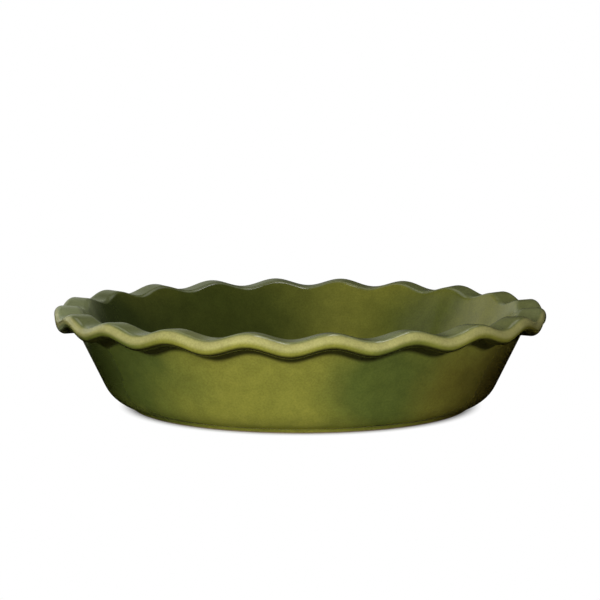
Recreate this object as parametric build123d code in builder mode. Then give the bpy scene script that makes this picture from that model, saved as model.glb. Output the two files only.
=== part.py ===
"""Ruffled pie dish: a fired stoneware body under a fused coat of glaze.

The origin is on the table under the middle of the dish, +Z is up, and one crest of the
ruffled rim lies on +X. Lengths are in millimetres and angles in degrees.
"""

from build123d import *
from math import cos, radians, sin, tan
import os

# Overall form, as measured on the finished, glazed dish
rim_radius = 133.0  # outermost line of the lip
lip_level = 49.0  # middle of the lip above the table, midway between crest and trough
rim_overhang = 8.9  # the lip's reach beyond the line of the outer wall
wall_lean = 64.3  # angle of the wall from the horizontal
wall_thickness = 7.0
heel_radius = 18.9  # outer rounding between the wall and the base

# Ruffled rim: a flat flange that waves up and down, with a rounded lip
ruffle_count = 20
lip_thickness = 8.3
lip_rise = 2.06  # half the height of a ruffle, at the lip
shoulder_rise = 1.84  # half the height of a ruffle where the flange meets the wall
shoulder_drop = 0.23  # how much lower the flange is at its inner edge
root_radius = 2.0  # glaze-filled corner between the flange's underside and the wall
fade_length = 1.2  # how far the ruffles run down the wall below the lowest trough

# Low foot ring, ground flat where it stands
foot_height = 1.7
foot_width = 7.0
foot_reach = 3.0  # how far the ring stands out beyond the flat of the base
foot_bevel = 0.3

# Glaze, fused all over the clay except where the foot ring is wiped clean
glaze_depth = 0.4
foot_bare = 0.5  # how far above the table the glaze ends

# Narrow flats that stand for each rounding, with fewer on the clay that the glaze hides
points_per_ruffle = 5
lip_flat_count = 6
shoulder_flat_count = 2
heel_flat_count = 4
clay_lip_flat_count = 3
clay_heel_flat_count = 3

# The wall is a straight slope in section
slope_run = 1 / tan(radians(wall_lean))
wall_slant = sin(radians(wall_lean))


def wall_radius(level, depth=0):
    """Radius of the wall at a level, on its outer face or at a depth into the clay."""
    return rim_radius - rim_overhang + (level - lip_level) * slope_run - depth / wall_slant


# Centres of the section's roundings, each as a radius and a level
half_lip = lip_thickness / 2
lip_centre = (rim_radius - half_lip, lip_level)

shoulder_level = lip_level - shoulder_drop
shoulder_touch = shoulder_level + half_lip * cos(radians(wall_lean))
shoulder_radius = wall_radius(shoulder_touch, wall_thickness) + half_lip * wall_slant
shoulder_centre = (shoulder_radius, shoulder_level)

underside_level = lip_level - half_lip
root_level = underside_level - root_radius
root_centre = (wall_radius(root_level) + root_radius / wall_slant, root_level)

heel_level = foot_height + heel_radius
heel_centre = (wall_radius(heel_level) - heel_radius / wall_slant, heel_level)

# The ruffles have faded into the plain wall at this level
plain_level = root_level + root_radius * cos(radians(wall_lean)) - shoulder_rise - fade_length


def ring(point, rise, run=0):
    """Closed line round the rim through one point of its section, waving up and out by turns."""
    radius, level = point
    points = []
    for step in range(ruffle_count * points_per_ruffle):
        turn = radians(360 * step / (ruffle_count * points_per_ruffle))
        wave = cos(ruffle_count * turn)
        reach = radius + run * wave
        points.append((reach * cos(turn), reach * sin(turn), level + rise * wave))
    with BuildLine() as line:
        Spline(*points, periodic=True)
    return line.wire()


def lip_ring(point):
    """Line on the lip, where the ruffles are tallest."""
    return ring(point, lip_rise)


def wall_ring(point):
    """Line where the flange springs from the wall, so that it slides along the wall's slope."""
    return ring(point, shoulder_rise, shoulder_rise * slope_run)


def plain_ring(depth):
    """Level circle on the wall, below the ruffles."""
    return Wire.make_circle(wall_radius(plain_level, depth), Plane.XY.offset(plain_level))


def arc_points(centre, radius, first, last, flats):
    """Points of the section along an arc, from the first to the last angle."""
    angles = [radians(first + (last - first) * step / flats) for step in range(flats + 1)]
    return [(centre[0] + radius * cos(a), centre[1] + radius * sin(a)) for a in angles]


def rim(depth, shoulder_flats, lip_flats):
    """The flange and the top of the wall, drawn in by a depth, as bands from ring to ring."""
    cover = half_lip - depth
    corner = root_radius + depth
    shoulder = arc_points(shoulder_centre, cover, 90 + wall_lean, 90, shoulder_flats)
    lip = arc_points(lip_centre, cover, 90, -90, lip_flats)
    root = arc_points(root_centre, corner, 90, 90 + wall_lean, 1)
    inner_ring = plain_ring(wall_thickness - depth)
    outer_ring = plain_ring(depth)
    rings = [inner_ring]
    rings += [wall_ring(point) for point in shoulder]
    rings += [lip_ring(point) for point in lip]
    rings += [wall_ring(point) for point in root]
    rings += [outer_ring]
    skin = Shell.make_loft(rings, ruled=True)
    return Solid(Shell(skin.faces() + [Face(outer_ring, [inner_ring])]))


def dish_form(flange, depth, heel_flats):
    """A whole dish without its foot: a turned bowl, drawn in by a depth, with its flange."""
    floor_level = foot_height + wall_thickness - depth
    base_level = foot_height + depth
    inner_radius = heel_radius - wall_thickness + depth
    steep = wall_lean - 90
    section = [(0, floor_level), (0, base_level)]
    section += arc_points(heel_centre, heel_radius - depth, -90, steep, heel_flats)
    section += [(wall_radius(plain_level, depth), plain_level)]
    section += [(wall_radius(plain_level, wall_thickness - depth), plain_level)]
    section += arc_points(heel_centre, inner_radius, steep, -90, heel_flats)
    with BuildPart() as form:
        with BuildSketch(Plane.XZ):
            with BuildLine():
                Polyline(*section, close=True)
            make_face()
        revolve(axis=Axis.Z)
        add(flange)
    return form.part


def foot_ring(depth, bottom):
    """The foot ring, drawn in by a depth on both sides, from a level up into the base."""
    outer_radius = heel_centre[0] + foot_reach
    with BuildPart() as foot:
        with BuildSketch(Plane.XY.offset(bottom)):
            Circle(outer_radius - depth)
            Circle(outer_radius - foot_width + depth, mode=Mode.SUBTRACT)
        extrude(amount=foot_height + wall_thickness / 2 - bottom)
    return foot.part


clay_rim = rim(glaze_depth, 1, clay_lip_flat_count)
clay_form = dish_form(clay_rim, glaze_depth, clay_heel_flat_count)
glazed_rim = rim(0, shoulder_flat_count, lip_flat_count)
glazed_form = dish_form(glazed_rim, 0, heel_flat_count)

# Stoneware body: the clay form, standing on its foot ring
with BuildPart() as stoneware_body:
    add(foot_ring(glaze_depth, 0))
    chamfer(stoneware_body.edges().group_by(Axis.Z)[0], foot_bevel)
    add(clay_form)
stoneware_body.part.label = "stoneware_body"

# Glaze coat: what is left of the glazed form around the clay, open where the foot stands
with BuildPart() as glaze_coat:
    add(glazed_form)
    add(foot_ring(0, foot_bare))
    add(stoneware_body.part, mode=Mode.SUBTRACT)
glaze_coat.part.label = "glaze_coat"

os.makedirs("parts", exist_ok=True)
export_step(stoneware_body.part, "parts/stoneware_body.step")
export_step(glaze_coat.part, "parts/glaze_coat.step")
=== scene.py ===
"""Glazed ruffled pie dish, dressed and lit: metres, +Z up, the dish standing on the floor."""

from math import asin, cos, pi, radians, sin, tan

import bpy
from mathutils import Matrix, Vector


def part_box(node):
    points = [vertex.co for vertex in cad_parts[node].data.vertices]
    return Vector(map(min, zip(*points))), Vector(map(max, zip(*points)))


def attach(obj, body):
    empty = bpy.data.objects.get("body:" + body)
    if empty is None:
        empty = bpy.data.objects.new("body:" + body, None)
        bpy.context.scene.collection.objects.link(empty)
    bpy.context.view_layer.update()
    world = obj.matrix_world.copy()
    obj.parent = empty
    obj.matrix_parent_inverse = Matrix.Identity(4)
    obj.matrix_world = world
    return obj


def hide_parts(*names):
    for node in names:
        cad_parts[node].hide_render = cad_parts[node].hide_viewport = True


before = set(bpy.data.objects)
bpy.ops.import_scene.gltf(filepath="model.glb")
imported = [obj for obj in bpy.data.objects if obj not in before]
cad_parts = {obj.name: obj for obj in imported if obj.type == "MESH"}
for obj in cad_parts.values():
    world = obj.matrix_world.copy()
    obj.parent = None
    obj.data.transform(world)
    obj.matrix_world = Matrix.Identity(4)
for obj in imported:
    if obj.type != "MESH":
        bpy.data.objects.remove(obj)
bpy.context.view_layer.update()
coat_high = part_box("glaze_coat")[1]

# Sizes of the dish, in metres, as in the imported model
MM = 0.001
ruffle_count = 20
lip_thickness = 8.3 * MM
lip_rise = 2.06 * MM
shoulder_rise = 1.84 * MM
shoulder_drop = 0.23 * MM
rim_overhang = 8.9 * MM
root_radius = 2.0 * MM
fade_length = 1.2 * MM
wall_lean = radians(64.3)
wall_thickness = 7.0 * MM
heel_radius = 18.9 * MM
foot_height = 1.7 * MM
foot_width = 7.0 * MM
foot_reach = 3.0 * MM
glaze_depth = 0.4 * MM
foot_bare = 0.5 * MM
crease_radius = 0.5 * MM  # glaze pooled in the corners of the foot ring

# The lip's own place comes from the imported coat's box
half_lip = lip_thickness / 2
rim_radius = coat_high.x
lip_level = coat_high.z - lip_rise - half_lip

# Fineness of the meshes
steps_per_ruffle = 24
arc_step = radians(7)
hidden_arc_step = radians(20)
bead_step = radians(30)
run_step = 4 * MM

# The photograph's camera, as it stands to the dish
image_width = 600
focal_pixels = 1849.0
sensor_width = 36
camera_distance = 1000.9 * MM
camera_height = 171.3 * MM
camera_side = -0.16 * MM
camera_pitch = 0.1142
studio_turn = -0.1189  # the dish's own turn on the table, seen from the camera

# The dark room that the glaze mirrors
room_radius = 2.4
room_low = -0.1
room_high = 3.0
room_band = 1.7  # the walls are black above this level
room_grey = 0.03
room_tint = (0.94, 1.00, 0.78)
window_side = (-0.80, 1.00, 0.30)  # where the room is brighter, as seen from the camera's side
window_grey = 0.57

# The white floor and the soft light all round
floor_width = 10
floor_grey = 0.9
shadow_reach = (0.089, 0.100)  # where the floor's shadow starts and ends fading, from the middle
ambient = 0.11

# Softboxes: place as seen from the camera's side, size, radiance, and whether the glaze mirrors it
lamp_aim = (0, -0.02, 0.03)
LAMPS = [
    ((-0.22, -0.75, 0.20), (0.40, 0.35), 1.4, False),
    ((0.00, -0.60, 0.08), (0.36, 0.14), 4.0, False),
    ((0.00, -0.90, 0.30), (0.50, 0.40), 3.0, False),
    ((-0.30, -0.70, 0.45), (0.35, 0.35), 4.6, False),
    ((-0.90, -0.10, 0.50), (0.50, 0.40), 0.3, True),
    ((-0.80, 0.50, 0.35), (0.50, 0.40), 0.3, True),
    ((0.00, 0.50, 0.80), (0.90, 0.30), 0.7, True),
    ((0.10, 0.15, 0.90), (0.14, 0.36), 5.0, True),
    ((0.20, 1.20, 0.10), (0.90, 0.30), 4.0, False),
]

slope_run = 1 / tan(wall_lean)
wall_slant = sin(wall_lean)
steep = wall_lean - pi / 2


def wall_radius(level, depth=0.0):
    """Radius of the wall at a level, on its outer face or at a depth into it."""
    return rim_radius - rim_overhang + (level - lip_level) * slope_run - depth / wall_slant


# Centres of the section's roundings
lip_centre = (rim_radius - half_lip, lip_level)
shoulder_level = lip_level - shoulder_drop
shoulder_touch = shoulder_level + half_lip * cos(wall_lean)
shoulder_radius = wall_radius(shoulder_touch, wall_thickness) + half_lip * wall_slant
shoulder_centre = (shoulder_radius, shoulder_level)
root_level = lip_level - half_lip - root_radius
root_centre = (wall_radius(root_level) + root_radius / wall_slant, root_level)
heel_level = foot_height + heel_radius
heel_centre = (wall_radius(heel_level) - heel_radius / wall_slant, heel_level)
plain_level = root_level + root_radius * cos(wall_lean) - shoulder_rise - fade_length
foot_outside = heel_centre[0] + foot_reach
foot_inside = foot_outside - foot_width

# A station is one point of the section: radius, level, and how far it waves out and up
PLAIN = (0.0, 0.0)
AT_WALL = (shoulder_rise * slope_run, shoulder_rise)
AT_LIP = (0.0, lip_rise)


def arc(centre, radius, first, last, waves, step):
    """Stations along an arc of the section, from the first to the last angle."""
    count = max(2, round(abs(last - first) / step))
    angles = [first + (last - first) * i / count for i in range(count + 1)]
    return [(centre[0] + radius * cos(a), centre[1] + radius * sin(a), *waves) for a in angles]


def joined(groups):
    """One list of stations from several, with even steps across the straight runs between them."""
    stations = list(groups[0])
    for group in groups[1:]:
        start, end = stations[-1], group[0]
        length = ((end[0] - start[0]) ** 2 + (end[1] - start[1]) ** 2) ** 0.5
        count = max(1, round(length / run_step))
        for i in range(1, count):
            stations.append(tuple(a + (b - a) * i / count for a, b in zip(start, end)))
        stations += group
    return stations


def skin(depth, heel_end, step):
    """The dish's skin, drawn in by a depth, from the floor's middle over the rim to the heel."""
    cover = half_lip - depth
    return [
        [(0.0, foot_height + wall_thickness - depth, *PLAIN)],
        arc(heel_centre, heel_radius - wall_thickness + depth, -pi / 2, steep, PLAIN, step),
        [(wall_radius(plain_level, wall_thickness - depth), plain_level, *PLAIN)],
        arc(shoulder_centre, cover, pi / 2 + wall_lean, pi / 2, AT_WALL, step),
        arc(lip_centre, cover, pi / 2, -pi / 2, AT_LIP, step),
        arc(root_centre, root_radius + depth, pi / 2, pi / 2 + wall_lean, AT_WALL, step),
        [(wall_radius(plain_level, depth), plain_level, *PLAIN)],
        arc(heel_centre, heel_radius - depth, steep, heel_end, PLAIN, step),
    ]


def ruffled_mesh(name, stations):
    """Turned mesh through the stations, waving with the ruffles, with both its ends on the axis."""
    around = ruffle_count * steps_per_ruffle
    vertices, rings, faces = [], [], []
    for radius, level, run, rise in stations:
        if radius == 0:
            rings.append([len(vertices)] * around)
            vertices.append((0.0, 0.0, level))
            continue
        rings.append(list(range(len(vertices), len(vertices) + around)))
        for i in range(around):
            turn = 2 * pi * i / around
            wave = cos(ruffle_count * turn)
            reach = radius + run * wave
            vertices.append((reach * cos(turn), reach * sin(turn), level + rise * wave))
    for upper, lower in zip(rings, rings[1:]):
        for i in range(around):
            j = (i + 1) % around
            faces.append(tuple(dict.fromkeys((upper[i], lower[i], lower[j], upper[j]))))
    mesh = bpy.data.meshes.new(name)
    mesh.from_pydata(vertices, [], faces)
    mesh.polygons.foreach_set("use_smooth", [True] * len(faces))
    piece = bpy.data.objects.new(name, mesh)
    bpy.context.collection.objects.link(piece)
    return piece


def glazed_skin():
    """The main coat: its outer face down to a bead on the foot ring, then back along the clay."""
    pooled = heel_radius + crease_radius
    turn = asin((foot_reach + crease_radius) / pooled)
    crease = (foot_outside + crease_radius, heel_level - pooled * cos(turn))
    bead = (foot_outside - glaze_depth / 2, foot_bare + glaze_depth / 2)
    outer = skin(0.0, turn - pi / 2, arc_step)
    outer.append(arc(crease, crease_radius, pi / 2 + turn, pi, PLAIN, bead_step))
    outer.append(arc(bead, glaze_depth / 2, 0, -pi, PLAIN, bead_step))
    clay_turn = asin((foot_reach - glaze_depth) / (heel_radius - glaze_depth))
    inner = skin(glaze_depth, clay_turn - pi / 2, hidden_arc_step)
    return ruffled_mesh("glaze_skin", joined(outer) + joined(inner)[::-1])


def glazed_base():
    """The coat on the base inside the foot ring, down to a bead, then back along the clay."""
    crease = (foot_inside - crease_radius, foot_height - crease_radius)
    bead = (foot_inside + glaze_depth / 2, foot_bare + glaze_depth / 2)
    clay_level = foot_height + glaze_depth
    stations = joined([
        [(0.0, clay_level, *PLAIN)],
        [(foot_inside + glaze_depth, clay_level, *PLAIN)],
        arc(bead, glaze_depth / 2, 0, -pi, PLAIN, bead_step),
        arc(crease, crease_radius, 0, pi / 2, PLAIN, bead_step),
        [(0.0, foot_height, *PLAIN)],
    ])
    return ruffled_mesh("glaze_base", stations)


def new_node(tree, kind, inputs=None, **settings):
    """A node with its settings, and its inputs given as numbers or as other nodes' outputs."""
    made = tree.nodes.new(kind)
    for key, value in settings.items():
        setattr(made, key, value)
    for key, value in (inputs or {}).items():
        if isinstance(value, bpy.types.NodeSocket):
            tree.links.new(value, made.inputs[key])
        else:
            made.inputs[key].default_value = value
    return made


def new_material(name):
    """A node material, with its tree and its Principled shader."""
    material = bpy.data.materials.new(name)
    material.use_nodes = True
    tree = material.node_tree
    return material, tree, tree.nodes["Principled BSDF"]


def sum_of(tree, operation, first, second):
    """The output of one sum on two values."""
    return new_node(tree, "ShaderNodeMath", {0: first, 1: second}, operation=operation).outputs[0]


def ranged(tree, value, low, high, to_low=0.0, to_high=1.0):
    """A value brought smoothly from one range to another, and held at its ends."""
    inputs = {"Value": value, "From Min": low, "From Max": high, "To Min": to_low, "To Max": to_high}
    return new_node(tree, "ShaderNodeMapRange", inputs, interpolation_type="SMOOTHSTEP").outputs["Result"]


def noise(tree, place, scale, detail=2.0, roughness=0.5, seed=0.0):
    """Noise from 0 to 1 in space, its grain about one metre over the scale."""
    inputs = {"Vector": place, "Scale": scale, "Detail": detail, "Roughness": roughness, "W": seed}
    return new_node(tree, "ShaderNodeTexNoise", inputs, noise_dimensions="4D").outputs["Fac"]


def blended(tree, factor, first, second, blend="MIX"):
    """One colour mixed into another by a factor."""
    mix = new_node(tree, "ShaderNodeMix", {0: factor}, data_type="RGBA", blend_type=blend)
    for socket, colour in ((mix.inputs[6], first), (mix.inputs[7], second)):
        if isinstance(colour, bpy.types.NodeSocket):
            tree.links.new(colour, socket)
        else:
            socket.default_value = (*colour, 1)
    return mix.outputs[2]


# Glaze colours, from the ground colour to the tones that the kiln left, with painted light among them: a
# darker green and brown copy and a near-black as painted shade, two grey-greens as painted sheen, and a pale
# that is partly a painted highlight
OLIVE = (0.235, 0.232, 0.036)
GREEN = (0.088, 0.115, 0.021)
# a shaded copy of the green, used as painted shade
SHADED_GREEN = (0.042, 0.056, 0.010)
BROWN = (0.132, 0.115, 0.017)
# a shaded copy of the brown, used as painted shade
SHADED_BROWN = (0.060, 0.046, 0.008)
# pale of the lip's edge, partly thinner glaze and partly a painted highlight
PALE = (0.430, 0.405, 0.150)
# pale grey-green for the side lobes, a painted sheen
SIDE_SHEEN = (0.480, 0.535, 0.290)
# grey-green for the flange's flat top, a painted sheen
TOP_SHEEN = (0.205, 0.232, 0.095)
# near-black under the lip, a painted shade
UNDER_LIP_SHADE = (0.016, 0.015, 0.003)

# Patches of the glaze's tone, partly painted light: the green and brown ones are partly, and the darkest
# ones wholly, painted shade where the dish turns from the light; the pale grey-green ones on the side lobes
# are a painted sheen. Place as seen from the camera's side, radius, colour and strength
TONE_SHADE_AND_SHEEN_PATCHES = [
    ((0.044, -0.102, 0.023), 0.037, GREEN, 0.95),
    ((0.094, -0.064, 0.020), 0.046, BROWN, 0.95),
    ((0.116, -0.042, 0.014), 0.043, SHADED_BROWN, 1.0),
    ((-0.088, -0.070, 0.025), 0.048, GREEN, 0.95),
    ((-0.054, 0.090, 0.030), 0.073, SHADED_GREEN, 0.91),
    ((-0.105, 0.030, 0.030), 0.058, SHADED_GREEN, 1.0),
    ((0.074, 0.084, 0.030), 0.039, GREEN, 0.75),
    ((0.010, 0.112, 0.035), 0.040, GREEN, 0.2),
    ((-0.114, -0.040, 0.022), 0.054, SHADED_GREEN, 0.93),
    ((-0.142, -0.012, 0.060), 0.047, SIDE_SHEEN, 1.0),
    ((0.142, -0.012, 0.060), 0.036, SIDE_SHEEN, 0.5),
]


def glaze_material():
    """Olive glaze, mottled, with patches of tone, painted shade and painted sheen, pale on the lip where it
    thins and where a highlight is painted, and painted shade under the lip.
    """
    material, tree, shader = new_material("glaze")
    place = new_node(tree, "ShaderNodeTexCoord").outputs["Object"]
    warp = new_node(tree, "ShaderNodeTexNoise", {"Vector": place, "Scale": 22.0, "Detail": 2.0})
    centred = new_node(tree, "ShaderNodeVectorMath", {0: warp.outputs["Color"], 1: (0.5, 0.5, 0.5)},
                       operation="SUBTRACT").outputs[0]
    shift = new_node(tree, "ShaderNodeVectorMath", {0: centred, "Scale": 0.05}, operation="SCALE").outputs[0]
    warped = new_node(tree, "ShaderNodeVectorMath", {0: place, 1: shift}, operation="ADD").outputs[0]

    mottle = ranged(tree, noise(tree, place, 14.0, seed=8.4), 0.50, 0.72, 0.0, 0.22)
    colour = blended(tree, mottle, OLIVE, GREEN)
    for spot, radius, tint, strength in TONE_SHADE_AND_SHEEN_PATCHES:
        centre = studio @ Vector(spot)
        gap = new_node(tree, "ShaderNodeVectorMath", {0: warped, 1: centre}, operation="DISTANCE")
        reach = ranged(tree, gap.outputs["Value"], 0.35 * radius, 1.25 * radius, strength, 0.0)
        colour = blended(tree, reach, colour, tint)

    # Where a point stands on the rim: its radius, and its height over the lip's waving middle
    axes = new_node(tree, "ShaderNodeSeparateXYZ", {0: place}).outputs
    flat = new_node(tree, "ShaderNodeCombineXYZ", {0: axes["X"], 1: axes["Y"]}).outputs[0]
    radius = new_node(tree, "ShaderNodeVectorMath", {0: flat}, operation="LENGTH").outputs["Value"]
    turn = sum_of(tree, "ARCTAN2", axes["Y"], axes["X"])
    wave = sum_of(tree, "COSINE", sum_of(tree, "MULTIPLY", turn, ruffle_count), 0.0)
    crown = sum_of(tree, "ADD", sum_of(tree, "MULTIPLY", wave, lip_rise), lip_level)
    height = sum_of(tree, "SUBTRACT", axes["Z"], crown)

    # Painted sheen in grey-green on the flange's flat top, pale on the lip's upper edge (partly thinner
    # glaze, partly a painted highlight), and painted shade under the lip
    top_sheen_mask = ranged(tree, height, 2.4 * MM, 3.6 * MM, 0.0, 0.65)
    colour = blended(tree, top_sheen_mask, colour, TOP_SHEEN)
    edge = ranged(tree, radius, rim_radius - 2.4 * MM, rim_radius - 1.0 * MM)
    upper = ranged(tree, height, -1.5 * MM, 1.0 * MM)
    pale_and_highlight = sum_of(tree, "MULTIPLY", edge, upper)
    patches = ranged(tree, noise(tree, place, 60.0, seed=7.0), 0.3, 0.7, 0.75, 1.0)
    patchy = sum_of(tree, "MULTIPLY", pale_and_highlight, patches)
    colour = blended(tree, patchy, colour, PALE)
    # Painted shade: a near-black band under the lip and down the top of the outer wall, on the outside only
    below = ranged(tree, height, -8.6 * MM, -6.2 * MM)
    above = ranged(tree, height, -3.1 * MM, -1.5 * MM, 0.94, 0.0)
    outside = ranged(tree, radius, rim_radius - 17.0 * MM, rim_radius - 14.0 * MM)
    pooled = sum_of(tree, "MULTIPLY", sum_of(tree, "MULTIPLY", below, above), outside)
    colour = blended(tree, pooled, colour, UNDER_LIP_SHADE)

    # Grain as fine as the photo shows, soft clouds, and a lighter tone low on the wall, a painted reflection
    # of the floor's light
    grain = ranged(tree, noise(tree, place, 1000.0, 2.0, 0.6), 0.25, 0.75, 0.87, 1.13)
    cloud = ranged(tree, noise(tree, place, 130.0, 3.0, 0.55, 5.0), 0.25, 0.75, 0.90, 1.10)
    # lighter towards the bottom of the wall, painted light reflected up from the floor
    run = ranged(tree, axes["Z"], 4.0 * MM, 30.0 * MM, 1.12, 1.0)
    tone = sum_of(tree, "MULTIPLY", sum_of(tree, "MULTIPLY", grain, cloud), run)
    toned = new_node(tree, "ShaderNodeVectorMath", {0: colour, "Scale": tone}, operation="SCALE").outputs[0]
    tree.links.new(toned, shader.inputs["Base Color"])

    # Gloss, highest on the lip, over a fine peel and a slow swell of the surface
    gloss = ranged(tree, noise(tree, place, 45.0, 3.0, 0.5, 9.0), 0.3, 0.7, 0.14, 0.20)
    polish = ranged(tree, radius, rim_radius - 5.5 * MM, rim_radius - 3.0 * MM, 1.0, 0.5)
    glassy = sum_of(tree, "MULTIPLY", gloss, polish)
    tree.links.new(glassy, shader.inputs["Roughness"])
    peel = new_node(tree, "ShaderNodeBump", {
        "Height": noise(tree, place, 420.0, 2.0, 0.5, 2.0),
        "Strength": 0.22,
        "Distance": 0.12 * MM,
    })
    swell = new_node(tree, "ShaderNodeBump", {
        "Height": noise(tree, place, 55.0, 1.0, 0.5, 4.0),
        "Strength": 0.5,
        "Distance": 0.5 * MM,
        "Normal": peel.outputs["Normal"],
    })
    tree.links.new(swell.outputs["Normal"], shader.inputs["Normal"])
    return material


def clay_material():
    """Fired buff clay, fine-grained, with dark iron specks."""
    material, tree, shader = new_material("clay")
    place = new_node(tree, "ShaderNodeTexCoord").outputs["Object"]
    tone = ranged(tree, noise(tree, place, 160.0, 3.0), 0.3, 0.7)
    colour = blended(tree, tone, (0.26, 0.19, 0.13), (0.38, 0.29, 0.21))
    specks = ranged(tree, noise(tree, place, 700.0, 1.0, 0.5, 6.0), 0.68, 0.74, 0.0, 0.8)
    colour = blended(tree, specks, colour, (0.07, 0.04, 0.025))
    tree.links.new(colour, shader.inputs["Base Color"])
    shader.inputs["Roughness"].default_value = 0.85
    grain = new_node(tree, "ShaderNodeBump", {
        "Height": noise(tree, place, 1800.0, 2.0),
        "Strength": 0.5,
        "Distance": 0.1 * MM,
    })
    tree.links.new(grain.outputs["Normal"], shader.inputs["Normal"])
    return material


studio = Matrix.Rotation(studio_turn, 4, "Z")


def make_camera():
    """The photograph's camera."""
    data = bpy.data.cameras.new("camera")
    data.sensor_width = sensor_width
    data.lens = focal_pixels * sensor_width / image_width
    camera = bpy.data.objects.new("camera", data)
    bpy.context.collection.objects.link(camera)
    place = Matrix.Translation((camera_side, -camera_distance, camera_height))
    tilt = Matrix.Rotation(pi / 2 - camera_pitch, 4, "X")
    camera.matrix_world = studio @ place @ tilt
    bpy.context.scene.camera = camera


def facing(place, aim):
    """Where something stands in the studio, with its front turned to a point."""
    towards = Vector(aim) - Vector(place)
    turn = towards.to_track_quat("-Z", "Y").to_matrix().to_4x4()
    return studio @ Matrix.Translation(place) @ turn


def softbox(name, place, aim, size, radiance):
    """A soft rectangular lamp of an even radiance, placed as seen from the camera's side."""
    data = bpy.data.lights.new(name, "AREA")
    data.shape = "RECTANGLE"
    data.size, data.size_y = size
    data.energy = radiance * pi * size[0] * size[1]
    lamp = bpy.data.objects.new(name, data)
    bpy.context.collection.objects.link(lamp)
    lamp.matrix_world = facing(place, aim)
    return lamp


def sheet(name, place, aim, size, material):
    """A flat rectangle of the studio, such as its floor."""
    mesh = bpy.data.meshes.new(name)
    x, y = size[0] / 2, size[1] / 2
    mesh.from_pydata([(-x, -y, 0), (x, -y, 0), (x, y, 0), (-x, y, 0)], [], [(0, 1, 2, 3)])
    mesh.materials.append(material)
    made = bpy.data.objects.new(name, mesh)
    bpy.context.collection.objects.link(made)
    made.matrix_world = facing(place, aim)
    return made


def background_rays(tree):
    """1 for the rays that see the background: from the camera, a reflection or glass."""
    path = new_node(tree, "ShaderNodeLightPath").outputs
    seen = sum_of(tree, "MAXIMUM", path["Is Camera Ray"], path["Is Glossy Ray"])
    return sum_of(tree, "MAXIMUM", seen, path["Is Transmission Ray"])


def floor_material():
    """Plain white floor, which runs out into the white background away from the dish."""
    material, tree, shader = new_material("floor")
    shader.inputs["Base Color"].default_value = (floor_grey, floor_grey, floor_grey, 1)
    shader.inputs["Roughness"].default_value = 0.9
    shader.inputs["Specular IOR Level"].default_value = 0.0
    place = new_node(tree, "ShaderNodeTexCoord").outputs["Object"]
    gap = new_node(tree, "ShaderNodeVectorMath", {0: place}, operation="LENGTH").outputs["Value"]
    far = ranged(tree, gap, *shadow_reach)
    white = new_node(tree, "ShaderNodeEmission")
    fade = sum_of(tree, "MULTIPLY", far, background_rays(tree))
    mix = new_node(tree, "ShaderNodeMixShader", {0: fade, 1: shader.outputs[0], 2: white.outputs[0]})
    tree.links.new(mix.outputs[0], tree.nodes["Material Output"].inputs["Surface"])
    return material


def room_material():
    """Walls of a dark room, black at the horizon and high up, and brighter on one side."""
    material = bpy.data.materials.new("room")
    material.use_nodes = True
    tree = material.node_tree
    tree.nodes.remove(tree.nodes["Principled BSDF"])
    place = new_node(tree, "ShaderNodeTexCoord").outputs["Object"]
    level = new_node(tree, "ShaderNodeSeparateXYZ", {0: place}).outputs["Z"]
    foot = ranged(tree, level, 0.0, 0.3)
    head = ranged(tree, level, room_band - 0.3, room_band + 0.3, 1.0, 0.0)
    sight = new_node(tree, "ShaderNodeVectorMath", {0: place}, operation="NORMALIZE").outputs[0]
    window = studio @ Vector(window_side).normalized()
    near = new_node(tree, "ShaderNodeVectorMath", {0: sight, 1: window}, operation="DOT_PRODUCT")
    grey = ranged(tree, near.outputs["Value"], 0.68, 1.0, room_grey, window_grey)
    strength = sum_of(tree, "MULTIPLY", sum_of(tree, "MULTIPLY", foot, head), grey)
    glow = new_node(tree, "ShaderNodeEmission", {"Color": (*room_tint, 1), "Strength": strength})
    tree.links.new(glow.outputs[0], tree.nodes["Material Output"].inputs["Surface"])
    return material


def make_room():
    """The room around the dish, which only the glaze's reflections see."""
    around = 48
    turns = [2 * pi * i / around for i in range(around)]
    ring = [(room_radius * cos(a), room_radius * sin(a)) for a in turns]
    corners = [(x, y, z) for z in (room_low, room_high) for x, y in ring]
    sides = [(i, (i + 1) % around, around + (i + 1) % around, around + i) for i in range(around)]
    floor_side = tuple(range(around))
    ceiling = tuple(range(around, 2 * around))
    mesh = bpy.data.meshes.new("room")
    mesh.from_pydata(corners, [], sides + [floor_side, ceiling])
    mesh.materials.append(room_material())
    room = bpy.data.objects.new("room", mesh)
    bpy.context.collection.objects.link(room)
    room.visible_camera = False
    room.visible_diffuse = False
    room.visible_transmission = False
    room.visible_shadow = False
    return room


glaze = glaze_material()
for piece in (glazed_skin(), glazed_base()):
    piece.data.materials.append(glaze)
    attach(piece, "root")
    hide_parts("glaze_coat")
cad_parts["stoneware_body"].material_slots[0].material = clay_material()

make_camera()
floor = sheet("floor", (0, 0, 0), (0, 0, -1), (floor_width, floor_width), floor_material())
floor.visible_glossy = False
make_room()
for number, (place, size, radiance, mirrored) in enumerate(LAMPS):
    lamp = softbox(f"softbox_{number}", place, lamp_aim, size, radiance)
    lamp.visible_glossy = mirrored

world = bpy.data.worlds.new("world")
bpy.context.scene.world = world
world.use_nodes = True
tree = world.node_tree
strength = ranged(tree, background_rays(tree), 0.0, 1.0, ambient, 1.0)
tree.links.new(strength, tree.nodes["Background"].inputs["Strength"])
tree.nodes["Background"].inputs["Color"].default_value = (1, 1, 1, 1)

bpy.context.scene.view_settings.view_transform = "Standard"
